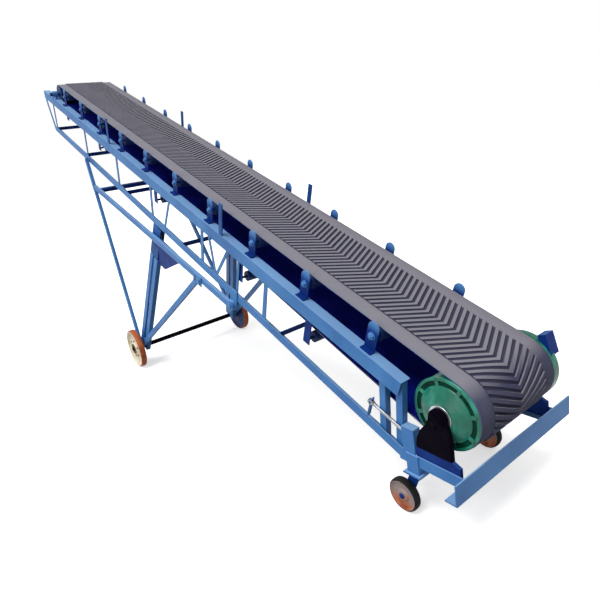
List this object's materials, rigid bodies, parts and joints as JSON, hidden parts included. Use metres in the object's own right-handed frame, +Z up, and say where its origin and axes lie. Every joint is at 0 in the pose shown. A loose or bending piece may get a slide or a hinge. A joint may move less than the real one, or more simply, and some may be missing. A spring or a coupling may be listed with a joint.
{
  "type": "mobile grain belt conveyor",
  "caption": "Inclined mobile belt conveyor: chevron belt on a blue lattice truss with a motor drum at the tail, swivel casters and a lifting wheel frame on road wheels.",
  "frame": {"origin": "on the ground under the middle of the overall length, on the middle plane", "axes": "+X from the low tail to the high head, +Y to the left seen along +X, +Z up"},
  "size_m": [6.2677, 1.408, 3.2742],
  "materials": {
    "frame_blue": "satin blue paint on rolled steel sections",
    "belt_rubber": "matt moulded chevron rubber",
    "drum_green": "green enamel on turned steel and castings",
    "carrier_black": "black enamel on iron",
    "bright_steel": "bare rolled thread steel",
    "roller_steel": "dark blue painted steel tube",
    "bearing_blue": "painted iron housings",
    "axle_black": "black painted round bar",
    "road_tread": "solid orange-red tread",
    "rim_cream": "cream painted pressed disc",
    "caster_rubber": "black solid rubber",
    "caster_disc": "brownish painted disc"
  },
  "bodies": {
    "truss": {"top_chords": "frame_blue", "lower_chords": "frame_blue", "truss_posts": "frame_blue", "truss_diagonals": "frame_blue", "cross_ties": "frame_blue", "head_stays": "frame_blue", "head_tie": "frame_blue", "tail_posts": "frame_blue", "front_bar": "frame_blue", "carrier_feet": "frame_blue", "takeup_blocks": "frame_blue", "idler_brackets": "frame_blue", "return_hangers": "frame_blue", "guard_posts": "frame_blue", "pivot_plates": "frame_blue", "caster_mounts": "frame_blue", "terminal_box": "frame_blue", "belt_carry_run": "belt_rubber", "belt_return_run": "belt_rubber", "belt_tail_wrap": "belt_rubber", "belt_head_wrap": "belt_rubber", "tail_drum": "drum_green", "drum_caps": "drum_green", "tail_shaft": "carrier_black", "drum_carriers": "carrier_black", "takeup_screws": "bright_steel", "head_drum": "roller_steel", "carry_rollers": "roller_steel", "return_rollers": "roller_steel", "head_bearings": "bearing_blue"},
    "wheel_frame": {"long_struts": "frame_blue", "frame_rails": "frame_blue", "frame_braces": "frame_blue", "joint_plates": "frame_blue", "lift_posts": "frame_blue", "frame_gussets": "frame_blue", "frame_tie": "frame_blue", "wheel_axle": "axle_black"},
    "lift_head_left": {"lift_head_left": "frame_blue", "lift_roller_left": "roller_steel"},
    "lift_head_right": {"lift_head_right": "frame_blue", "lift_roller_right": "roller_steel"},
    "road_wheel_left": {"road_tyre_left": "road_tread", "road_rim_left": "rim_cream"},
    "road_wheel_right": {"road_tyre_right": "road_tread", "road_rim_right": "rim_cream"},
    "caster_left": {"caster_fork_left": "frame_blue"},
    "caster_right": {"caster_fork_right": "frame_blue"},
    "caster_wheel_left": {"caster_tyre_left": "caster_rubber", "caster_disc_left": "caster_disc"},
    "caster_wheel_right": {"caster_tyre_right": "caster_rubber", "caster_disc_right": "caster_disc"}
  },
  "joints": [
    {"name": "wheel_frame_lift", "type": "hinge", "parent": "truss", "child": "wheel_frame", "pos_m": [-1.08319, 0, 0.9894], "axis": [0, 1, 0], "range_deg": [0, 8]},
    {"name": "lift_head_left_slide", "type": "slide", "parent": "wheel_frame", "child": "lift_head_left", "axis": [-0.5379, -0.1015, 0.8369], "range_m": [0, 0.1931]},
    {"name": "lift_head_right_slide", "type": "slide", "parent": "wheel_frame", "child": "lift_head_right", "axis": [-0.5379, 0.1015, 0.8369], "range_m": [0, 0.1931]},
    {"name": "road_wheel_left_spin", "type": "hinge", "parent": "wheel_frame", "child": "road_wheel_left", "pos_m": [1.02262, 0.66, 0.212], "axis": [0, 1, 0], "continuous": true},
    {"name": "road_wheel_right_spin", "type": "hinge", "parent": "wheel_frame", "child": "road_wheel_right", "pos_m": [1.02262, -0.66, 0.212], "axis": [0, 1, 0], "continuous": true},
    {"name": "caster_left_swivel", "type": "hinge", "parent": "truss", "child": "caster_left", "pos_m": [-2.77038, 0.394, 0.298], "axis": [0, 0, 1], "continuous": true},
    {"name": "caster_left_spin", "type": "hinge", "parent": "caster_left", "child": "caster_wheel_left", "pos_m": [-2.66038, 0.394, 0.1], "axis": [0, 1, 0], "continuous": true},
    {"name": "caster_right_swivel", "type": "hinge", "parent": "truss", "child": "caster_right", "pos_m": [-2.77038, -0.394, 0.298], "axis": [0, 0, 1], "continuous": true},
    {"name": "caster_right_spin", "type": "hinge", "parent": "caster_right", "child": "caster_wheel_right", "pos_m": [-2.66038, -0.394, 0.1], "axis": [0, 1, 0], "continuous": true}
  ],
  "couplings": [
    {"joint": "lift_head_left_slide", "follows": "wheel_frame_lift", "m_per_rad": 1.3688},
    {"joint": "lift_head_right_slide", "follows": "wheel_frame_lift", "m_per_rad": 1.3688}
  ]
}
